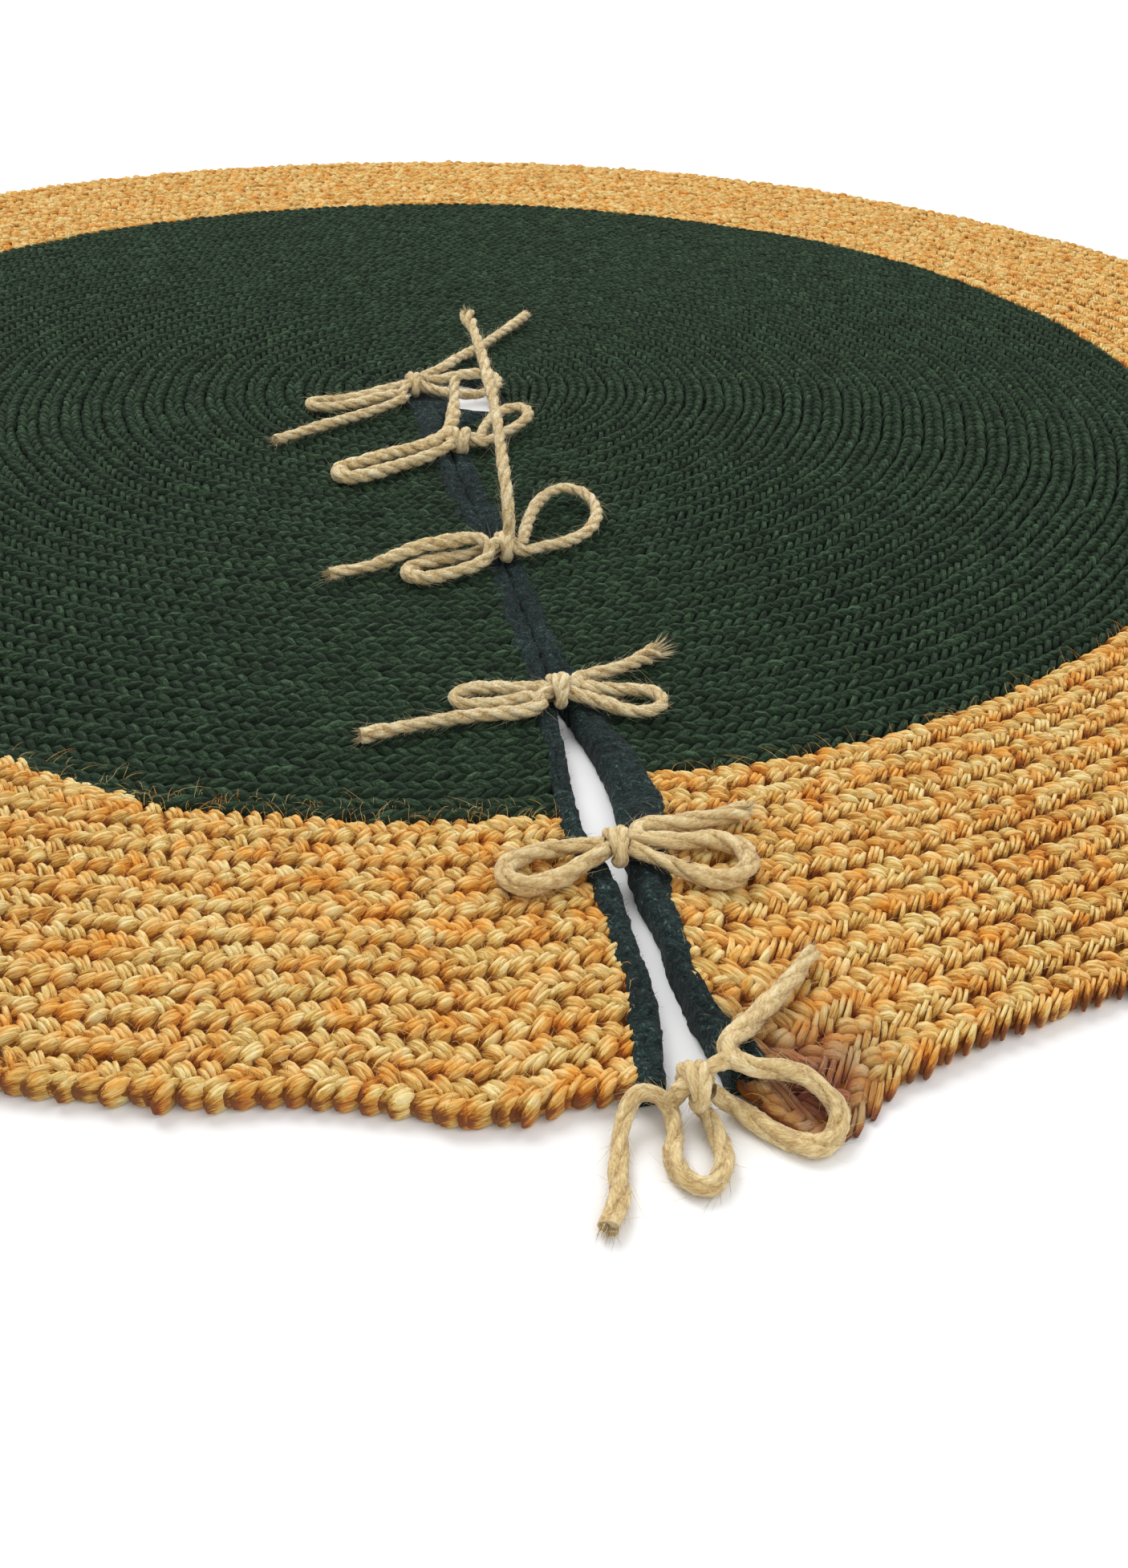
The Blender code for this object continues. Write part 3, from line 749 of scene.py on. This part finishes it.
def mat_hairs(name, side, braid, count, low, high, tint, reach, radius):
    """Loose fibres that lie on the braid and lift off it a little."""
    r = np.sqrt(rng.uniform(low ** 2, high ** 2, count))
    a = rng.uniform(-math.pi / 2, math.pi / 2, count)
    a = a if side == "right" else math.pi - a
    x, y = r * np.cos(a), r * np.sin(a)
    keep = (y > 0) | beyond_felt(side, x, y, 1.0)
    x, y, n = x[keep], y[keep], keep.sum()
    root = warp(np.stack([x, y, rng.uniform(6.5, 8.6, n)], 1))
    heading = rng.uniform(0, TURN, n)
    far = rng.gamma(3.0, reach / 3.0, n)
    lift = rng.uniform(0.3, 2.0, n) + far * 0.12
    turn = heading + rng.normal(0, 0.9, n)
    middle = root + np.column_stack([level(heading) * far[:, None] * 0.5, lift + 1.2])
    tip = middle + np.column_stack([level(turn) * far[:, None] * 0.5, -lift * rng.uniform(0.2, 1.0, n)])
    hair_mesh(f"{name}_{side}", root, middle, tip, (tint, 0.10), (0.7, 1.3), braid.look, size=radius,
              side=side)


def felt_hairs(side, count):
    """The nap that stands off the felt strip."""
    y = rng.uniform(-499, -2 if side == "left" else -24, count)
    inner, outer = gap_edge(side, y), felt_edge(side, y) + SIGN[side] * 1.8
    u = rng.beta(0.7, 0.8, count)
    at_gap = u < 0.12
    z = np.where(at_gap, rng.uniform(2, 8, count), 8.4)
    root = np.stack([inner + u * (outer - inner), y, z], 1)
    way = level(rng.uniform(0, TURN, count))
    far = rng.gamma(3.0, 0.6, count) * np.where(at_gap, 0.35, 1.0)
    rise = rng.uniform(0.3, 1.8, count) * np.where(at_gap, 0.5, 1.0)
    middle = root + np.column_stack([way * far[:, None] * 0.4, rise])
    tip = root + np.column_stack([way * far[:, None], rise * rng.uniform(0.4, 1.5, count)])
    hair_mesh(f"felt_nap_{side}", warp(root), warp(middle), warp(tip), (0.72, 0.2), (0.04, 0.10), FELT_LOOK,
              steps=3, side=side)


def border_loops(side):
    """The golden sewing thread that shows as small loops on the green beside the jute."""
    count = round(math.pi * GREEN_R / 7.6)
    a = -math.pi / 2 + (np.arange(count) + rng.uniform(0.15, 0.85, count)) * math.pi / count
    a = a if side == "right" else math.pi - a
    turn = np.where(a > math.pi / 2, a - TURN, a)
    late = (side == "left") & (turn > JUTE_START)
    edge = np.where(late, GREEN_R + JUTE_W, GREEN_R) + 1.5
    keep = (np.sin(a) > 0) | beyond_felt(side, edge * np.cos(a), edge * np.sin(a), 4.0)
    a, edge = a[keep], edge[keep]
    n = len(a)
    reach = rng.gamma(4.0, 1.15, n)
    sway = rng.normal(0, 0.012, n)
    looped = rng.uniform(0, 1, n) < 0.45
    tip = np.column_stack([(edge - reach)[:, None] * level(a + sway), 9.2 + rng.uniform(0, 1.0, n)])
    roots, middles = [], []
    # Every thread has one foot, and a looped one has two.
    for foot, used in ((-1, np.ones(n, bool)), (1, looped)):
        b = a + foot * rng.uniform(1.2, 2.4, n) / edge
        half = (edge - reach * 0.62)[:, None]
        roots.append(np.column_stack([edge[:, None] * level(b), np.full(n, 7.2)])[used])
        middles.append(np.column_stack([half * level(b + sway * 0.4), np.full(n, 10.2)])[used])
    root, middle = np.concatenate(roots), np.concatenate(middles)
    tip = np.concatenate([tip, tip[looped]])
    hair_mesh(f"border_thread_{side}", warp(root), warp(middle), warp(tip), (0.62, 0.10), (0.07, 0.14),
              JUTE_LOOK, steps=6, side=side)


for side in SIDES:
    mat_hairs("jute_fuzz", side, JUTE, 8600, GREEN_R + 4, RIM_R - 2, 0.92, 5.0, 0.07)
    mat_hairs("jute_lint", side, JUTE, 8600, GREEN_R + 4, RIM_R - 2, 0.85, 2.6, 0.10)
    mat_hairs("green_fuzz", side, GREEN, 5200, HOLE_R + 16, GREEN_R - 2, 0.75, 2.8, 0.08)
    felt_hairs(side, 3600)
    border_loops(side)


# ---- twine ties

# The CAD model's routes, as (x, y) where the twine lies on the mat and (x, y, z) elsewhere.
LIES_AT = 11.9
TIES = {
    "tie_1_left": (
        (-25, -12, 13.4), (-34, -16, 13.2), (-47, -21.5, 12.2), (-58, -23), (-66, -22.4), (-70.4, -25),
        (-69.6, -29.6), (-64.5, -31.6), (-56, -31.2), (-46, -28.8, 12.1), (-35.5, -24.6, 13),
        (-29, -22.8, 13.4), (-25, -24.8, 13.4), (-24.8, -29.4, 13.4), (-29.5, -34, 13.2), (-43, -42, 12),
        (-58, -51), (-74, -61.5), (-89, -71.8),
    ),
    "tie_1_right": (
        (-11, -17, 13.4), (-1, -25, 13.4), (10, -29, 13.4), (18, -25.5, 13.4), (23.5, -17, 13.4),
        (24.5, -7, 13.4), (19.5, 0, 13.4), (10, 0.5, 13.4), (1, -2.5, 13.4), (-6, -5, 13.4),
        (-10.4, -4.2, 13.4), (-11.8, 0.2, 13.4), (-8.5, 5, 13.4), (-1, 12, 13.4), (9.5, 26.5, 13.2),
        (24, 46, 12), (41, 71.5), (58, 97),
    ),
    "tie_2_left": (
        (-14.6, -97, 13.2), (-24, -103, 12.1), (-37, -110.5), (-50, -117.5), (-58, -119.6), (-63.2, -116),
        (-61.6, -109.8), (-53, -104.4, 12.1), (-37, -96.8, 12.8), (-24, -91.5, 13.2), (-15.5, -86.6, 13.6),
        (-9.8, -79.8, 14.5), (-6.3, -70.5, 16.5), (-3.6, -57, 20.5), (-1.2, -41, 26),
    ),
    "tie_2_right": (
        (4.9, -84.3, 13.4), (7, -76, 13.2), (11.5, -65.5, 13.4), (18, -57, 14), (25, -53.6, 15),
        (30.5, -56.5, 15.4), (31.2, -63.5, 15), (26.5, -71.5, 14.2), (18, -79.5, 13.4), (10.5, -86.5, 13.2),
        (5, -91, 13.4),
    ),
    "tie_3_left": (
        (-10.3, -202.3, 13.3), (-18, -204.8, 12.2), (-28, -207), (-37, -209.6), (-42.8, -213.6),
        (-43.2, -219), (-38, -222.3), (-31, -221.3), (-22, -217.6, 12), (-14.5, -214.4, 12.6),
        (-10.4, -211, 14.6), (-10.6, -207.4, 17.6), (-14.5, -205, 19.2), (-21, -204.8, 19),
        (-29, -205.4, 18.4), (-38, -206.4, 17.6), (-47, -207.6, 15), (-56, -209, 12.3), (-65, -211),
        (-74, -213.5),
    ),
    "tie_3_right": (
        (4.9, -199.5, 13.4), (7.5, -190, 13.4), (12, -176.5, 13.6), (19, -162, 14.5), (28, -153.5, 15.5),
        (36, -155.5, 15.5), (41, -165.5, 14.5), (40, -179, 13.2), (33, -191.5, 12.2), (22, -199.8, 12.2),
        (12, -204, 13.1), (5, -207.4, 13.4),
    ),
    "tie_3_raised_tail": (
        (-1, -203, 22.8), (-0.8, -197, 31), (-0.4, -186, 39), (0.4, -171, 46), (1.2, -153, 52.5),
        (1.6, -133, 58), (1.5, -112, 63), (1, -94, 66.5), (0, -80, 69),
    ),
    "tie_4_left": (
        (-10.4, -314.2, 13.3), (-17, -311.4, 12.1), (-26, -309.4), (-33.4, -309.8), (-38.4, -313.4),
        (-37, -318.2), (-30, -319.8), (-21, -319.6), (-14.4, -319.2, 12.8), (-10.4, -321, 13.3),
        (-10.4, -325.2, 13.3), (-14.6, -327.4, 12.6), (-22, -327), (-32, -326.6), (-44, -327.8),
        (-58, -330.4), (-72, -333.6),
    ),
    "tie_4_right": (
        (5, -322.6, 13.3), (11, -327, 13.1), (18.5, -331.8, 12), (26, -333), (31.3, -329.3), (31, -322.6),
        (25, -318.8), (16.5, -317.8, 12.2), (9.4, -317.4, 13.2), (5.4, -315.4, 13.4), (5.2, -311.4, 13.4),
        (9.4, -308.6, 13.2), (19, -304, 12), (29, -299), (37, -294),
    ),
    "tie_5_left": (
        (-10.4, -406.8, 13.3), (-18, -405.4, 12.1), (-28, -406.2), (-35.5, -410.5), (-37, -417),
        (-32.5, -421), (-25, -420.4), (-17, -416.8, 12.3), (-11.2, -413.4, 13.3),
    ),
    "tie_5_right": (
        (5, -413.6, 13.3), (11, -419.2, 13.1), (20, -426, 12), (28, -427.2), (34.5, -422), (34.5, -413.8),
        (27, -408.4), (17, -407.4, 12.1), (9.8, -407.6, 13.1), (5.5, -406, 13.4), (5.1, -402, 13.4),
        (9.4, -399.6, 13.2), (19, -398.6, 12), (30, -397.2), (41, -395.5),
    ),
    "tie_6_left": (
        (-3, -504.8, 4.3), (-1.2, -511.5, 3.4), (-0.8, -519, 2.9), (-2.2, -526, 2.9), (-7, -530.5, 2.9),
        (-12, -527.5, 2.9), (-13.2, -520, 2.9), (-11.2, -513.5, 3), (-10.4, -508.4, 4.4),
        (-12.8, -504.4, 7), (-17.8, -503.6, 8.4), (-21.8, -506.6, 6.8), (-24.6, -513, 3.6),
        (-26.8, -521, 2.9), (-28.6, -529.5, 2.9), (-33, -538.5, 2.9),
    ),
    "tie_6_right": (
        (5.4, -506.5, 3.4), (10, -512.5, 2.9), (15.4, -519, 2.9), (22, -522.8, 2.9), (28, -520.3, 3.8),
        (29.5, -514.6, 6.8), (25, -508.8, 10.2), (18, -505, 12.2), (10.8, -503.8, 13), (6.4, -501.6, 14.2),
        (5.6, -497.6, 14.6), (9.6, -492.6, 13.4), (19, -483.8, 12), (30, -473.5), (40, -463),
    ),
}
KNOTS = (
    (-18, -13, 15.2), (-5, -90, 15.2), (-2.8, -204, 15.2), (-2.8, -319, 15.2), (-2.8, -410, 15.2),
    (-4.2, -505.8, 12),
)
RAISED_TAIL, RAISED_FROM = "tie_3_raised_tail", (-1.4, -204.0, 17.0)
ENDS_AT_KNOT = {"tie_2_right", "tie_3_right", "tie_5_left"}
SOFT_BOWS = (5, 6)
FLUFF = {"tie_2_left": 0.3, "tie_5_left": 0.28, "tie_5_right": 0.22, "tie_3_left": 0.12, "tie_6_right": 0.15}
FRAY = {"tie_4_right": 1.6, "tie_3_raised_tail": 1.2, "tie_5_right": 1.0}
LONGEST_FRAY = "tie_4_right"
LAY, LOOSE_LAY, KNOT_LAY = 21.0, 40.0, 19.0
PLIES, PLY_SIDES = 3, 8
STEP = 1.25


def smooth_route(points, samples=16):
    """A centripetal Catmull-Rom curve through the points."""
    points = [Vector(p) for p in points]
    points = [2 * points[0] - points[1], *points, 2 * points[-1] - points[-2]]
    route = []
    for a, b, c, d in zip(points, points[1:], points[2:], points[3:]):
        t1 = math.sqrt((b - a).length)
        t2 = t1 + math.sqrt((c - b).length)
        t3 = t2 + math.sqrt((d - c).length)
        for i in range(samples):
            t = t1 + (t2 - t1) * i / samples
            ab = a.lerp(b, t / t1)
            bc = b.lerp(c, (t - t1) / (t2 - t1))
            cd = c.lerp(d, (t - t2) / (t3 - t2))
            abc = ab.lerp(bc, t / t2)
            bcd = bc.lerp(cd, (t - t1) / (t3 - t1))
            route.append(abc.lerp(bcd, (t - t1) / (t2 - t1)))
    route.append(points[-2])
    return np.array([tuple(p) for p in route])


def run_of(route):
    """How far along the route each of its points is."""
    return np.concatenate([[0], np.cumsum(np.linalg.norm(np.diff(route, axis=0), axis=1))])


def even(route, step):
    """The route with evenly spaced points, and its length."""
    run = run_of(route)
    at = np.linspace(0, run[-1], max(4, round(run[-1] / step)) + 1)
    return np.stack([np.interp(at, run, route[:, k]) for k in range(3)], 1), run[-1]


def headings(route):
    ahead = np.gradient(route, axis=0)
    return ahead / np.linalg.norm(ahead, axis=1, keepdims=True)


def carried_frame(route):
    """Two directions square to the route, carried along it without twist."""
    ahead = headings(route)
    first_side = np.cross(ahead[0], (0, 0, 1.0))
    if np.linalg.norm(first_side) < 0.1:
        first_side = np.cross(ahead[0], (1.0, 0, 0))
    sides = [first_side / np.linalg.norm(first_side)]
    for way in ahead[1:]:
        s = sides[-1] - way * np.dot(sides[-1], way)
        sides.append(s / np.linalg.norm(s))
    one = np.array(sides)
    return one, np.cross(ahead, one)


def about(one, two, angle, size=1.0):
    """Points on a circle between two directions."""
    return (size * np.cos(angle))[:, None] * one + (size * np.sin(angle))[:, None] * two


def joined(parts):
    """Several (points, faces, tint, yarn coordinates) as one."""
    points, faces, tint, where = zip(*parts)
    starts = np.cumsum([0] + [len(p) for p in points[:-1]])
    faces = [f + start for f, start in zip(faces, starts)]
    return tuple(np.concatenate(column) for column in (points, faces, tint, where))


def twisted(route, radius=TWINE_R, lay=LAY, fray=0.0, fluff=0.0, shade=0.0, seed=0):
    """Plies of twine wound round a route: points, faces, tint and yarn coordinates."""
    one, two = carried_frame(route)
    run = run_of(route)
    local = np.random.default_rng(seed)
    thick = 1 + 0.08 * np.sin(run / 11 + seed) + 0.05 * np.sin(run / 4.1 + 2 * seed)
    thick = thick + fluff * smooth(run, 8, 25) * (1 - smooth(run, run[-1] - 25, run[-1] - 8))
    ply = radius * 0.68 * thick
    off = radius * 0.34 * thick + fray * smooth(run, run[-1] - 14, run[-1])
    reach = radius * 0.54
    parts = []
    for p in range(PLIES):
        turn = TURN * (run / lay + p / PLIES) + 0.25 * np.sin(run / 6 + seed)
        wobble = 1 + 0.06 * np.sin(run / 2.3 + p) + local.normal(0, 0.025, len(run))
        centre = route + about(one, two, turn, off)
        rings = []
        for k in range(PLY_SIDES):
            a = turn + TURN * k / PLY_SIDES
            fat = ply * wobble * (1 + local.normal(0, 0.025, len(run)))
            rings.append(centre + about(one, two, a, fat))
        points, faces = swept(np.stack(rings, 1))
        k = np.tile(np.arange(PLY_SIDES), len(run)) * TURN / PLY_SIDES
        # The groove side of each ply, next to the twine's axis, is painted darker as shade, and its outer
        # side paler as light.
        tint = 0.60 + shade + 0.06 * np.sin(run / 9 + 3 * p) + local.normal(0, 0.03, len(run))
        tint = np.repeat(tint, PLY_SIDES) + 0.16 * np.cos(k) - 0.08
        along = np.repeat(run, PLY_SIDES)
        where = np.stack([along, reach * np.cos(k) + 40 * p + 7 * seed, reach * np.sin(k) + 0.5 * along], 1)
        parts.append((points, faces, tint, where))
    return joined(parts)


def bow_of(name):
    """The number of a tie's bow, from 1 at the hole to 6 at the rim."""
    return int(name.split("_")[1])


def knot_of(name):
    return np.array(KNOTS[bow_of(name) - 1], float)


def tie_route(name):
    """The tie's route with its ends drawn into the knot."""
    points = [np.array((*p, LIES_AT)[:3], float) for p in TIES[name]]
    knot = knot_of(name)
    points.insert(0, np.array(RAISED_FROM) if name == RAISED_TAIL else points[0] + (knot - points[0]) * 0.6)
    if name in ENDS_AT_KNOT:
        points.append(points[-1] + (knot - points[-1]) * 0.6)
    return even(smooth_route(points), STEP)


def tie_body(name):
    if bow_of(name) == 1:
        return "skirt_main"
    return "right_flap" if name.endswith("right") else "left_flap"


def shade_of(bow):
    """The two lowest bows are duller."""
    return -0.10 if bow in SOFT_BOWS else 0.0


def twine_piece(name, bow, twine, body, nodes=()):
    points, faces, tint, where = twine
    obj = new_mesh(name, points, faces, {"tint": tint}, {"strand": where})
    return finish_piece(obj, SOFT_LOOK if bow in SOFT_BOWS else TWINE_LOOK, body=body, nodes=nodes)


def twine_hairs(name, route, count, body):
    """Hairs that stand off a tie all round."""
    one, two = carried_frame(route)
    i = rng.integers(0, len(route), count)
    a = rng.uniform(0, TURN, count)
    out = about(one[i], two[i], a)
    ahead = headings(route)[i]
    root = route[i] + out * 2.0
    far = rng.gamma(2.2, 0.95, count)[:, None] + 0.5
    lean = rng.normal(1.0, 0.8, count)[:, None]
    middle = root + (out * 0.5 + ahead * lean * 0.6) * far * 0.6
    tip = root + (out * 0.6 + ahead * lean) * far + rng.normal(0, 0.4, (count, 3))
    hair_mesh(name + "_fuzz", root, middle, tip, (0.70, 0.13), (0.035, 0.08), TWINE_LOOK, steps=3, body=body)


def frayed_tip(name, route, count, spread, reach, body):
    """The brush of loose fibres at a cut end."""
    one, two = carried_frame(route)
    way = route[-1] - route[-4]
    way /= np.linalg.norm(way)
    a = rng.uniform(0, TURN, count)
    out = about(one[-1], two[-1], a)
    root = route[-1] - way * rng.uniform(0, 5, count)[:, None] + out * rng.uniform(0.2, 2.0, count)[:, None]
    far = rng.uniform(0.4, 1.0, count)[:, None] * reach
    wide = rng.uniform(0, 1, count)[:, None] * spread
    middle = root + way * far * 0.5 + out * wide * far * 0.3
    tip = root + way * far + out * wide * far
    tip[:, 2] = np.maximum(tip[:, 2], 0.4)
    hair_mesh(name + "_tip", root, middle, tip, (0.62, 0.13), (0.12, 0.26), TWINE_LOOK, steps=3, body=body)


def tie_piece(name, seed):
    route, length = tie_route(name)
    bow, body = bow_of(name), tie_body(name)
    twine = twisted(route, lay=LOOSE_LAY if bow in SOFT_BOWS else LAY, fray=FRAY.get(name, 0.3),
                    fluff=FLUFF.get(name, 0.0), shade=shade_of(bow), seed=seed)
    obj = twine_piece(name + "_twine", bow, twine, body, nodes=(name,))
    far_end = "knot" if name in ENDS_AT_KNOT else "bare"
    twine_hairs(name, route, int(length * 5.5), body)
    if far_end == "bare":
        count, spread = (90, 0.5) if name in FRAY else (40, 0.25)
        frayed_tip(name, route, count, spread, 13 if name == LONGEST_FRAY else 6, body)


for seed, name in enumerate(TIES):
    tie_piece(name, seed)


# ---- turns and knots

def turn_piece(name, seed):
    """The bit of twine that leads from a tie's turn, between its loop and its tail, into the knot."""
    route, _ = tie_route(name)
    knot = knot_of(name)
    inner = route[24:len(route) - 16]
    apex = inner[np.linalg.norm(inner - knot, axis=1).argmin()]
    lift = np.array([0, 0, 1.6])
    bridge = [apex - lift * 0.2, apex + (knot - apex) * 0.3 + lift * 0.6]
    bridge += [apex + (knot - apex) * 0.75 + lift, knot]
    path, _ = even(smooth_route(bridge), 1.0)
    bow = bow_of(name)
    twine_piece(name + "_turn", bow, twisted(path, shade=shade_of(bow), seed=seed), tie_body(name))


def knot_piece(bow, centre):
    """A bow's crossing: two strands wrapped over the ends that pass under them."""
    c = np.array(centre, float)
    wide = 3.6 if bow == 2 else 1.9
    parts = []
    for shift, lean in ((-wide / 2, -1.1), (wide / 2, 1.1)):
        over = [
            (shift - lean * 0.9, -2.2, -4.6), (shift - lean, -4.4, -3.0), (shift - lean * 0.7, -4.4, 0.2),
            (shift, -2.2, 2.6), (shift + lean * 0.4, 0.6, 3.0), (shift + lean * 0.9, 3.4, 1.6),
            (shift + lean, 4.6, -1.2), (shift + lean, 3.6, -3.8), (shift + lean * 0.9, 1.6, -4.8),
        ]
        parts.append(c + np.array(over))
    through = [(-4.6 - wide / 2, -1.0, -1.4), (-2.0, -0.6, 0.2), (1.2, 0.4, 0.4), (3.6, 1.2, -1.2)]
    parts.append(c + np.array(through))
    twines = []
    for k, part in enumerate(parts):
        route, _ = even(smooth_route(part), 1.0)
        twines.append(twisted(route, radius=2.3, lay=KNOT_LAY, shade=shade_of(bow), seed=35 + 5 * bow + k))
    body = "skirt_main" if bow == 1 else "left_flap"
    twine_piece(f"knot_{bow}_twine", bow, joined(twines), body, nodes=(f"knot_{bow}",))


for seed, name in enumerate(TIES):
    if name not in ENDS_AT_KNOT and name != RAISED_TAIL:
        turn_piece(name, 80 + seed)
for bow, centre in enumerate(KNOTS, 1):
    knot_piece(bow, centre)


# ---- studio

def studio():
    """A pale floor, a white world and two soft lamps. Lengths here are in metres."""
    scene = bpy.context.scene
    mesh = bpy.data.meshes.new("floor")
    reach = 6.0
    corners = [(-reach, -reach, 0), (reach, -reach, 0), (reach, reach, 0), (-reach, reach, 0)]
    mesh.from_pydata(corners, [], [(0, 1, 2, 3)])
    floor = bpy.data.objects.new("floor", mesh)
    scene.collection.objects.link(floor)
    mesh.materials.append(principled("floor", {"Base Color": (0.93, 0.93, 0.93, 1), "Roughness": 0.9})[0])
    world = scene.world or bpy.data.worlds.new("world")
    scene.world = world
    world.use_nodes = True
    background = world.node_tree.nodes["Background"]
    background.inputs["Color"].default_value = (1, 1, 1, 1)
    background.inputs["Strength"].default_value = 0.75
    for name, at, size, watts in (("key", (-0.9, 1.6, 2.9), 1.9, 66.0), ("fill", (0.9, -1.2, 1.6), 1.6, 9.0)):
        data = bpy.data.lights.new(name, "AREA")
        data.size = size
        data.energy = watts
        lamp = bpy.data.objects.new(name, data)
        lamp.location = at
        lamp.rotation_euler = (-Vector(at)).to_track_quat("-Z", "Y").to_euler()
        scene.collection.objects.link(lamp)
    scene.view_settings.view_transform = "Standard"


studio()
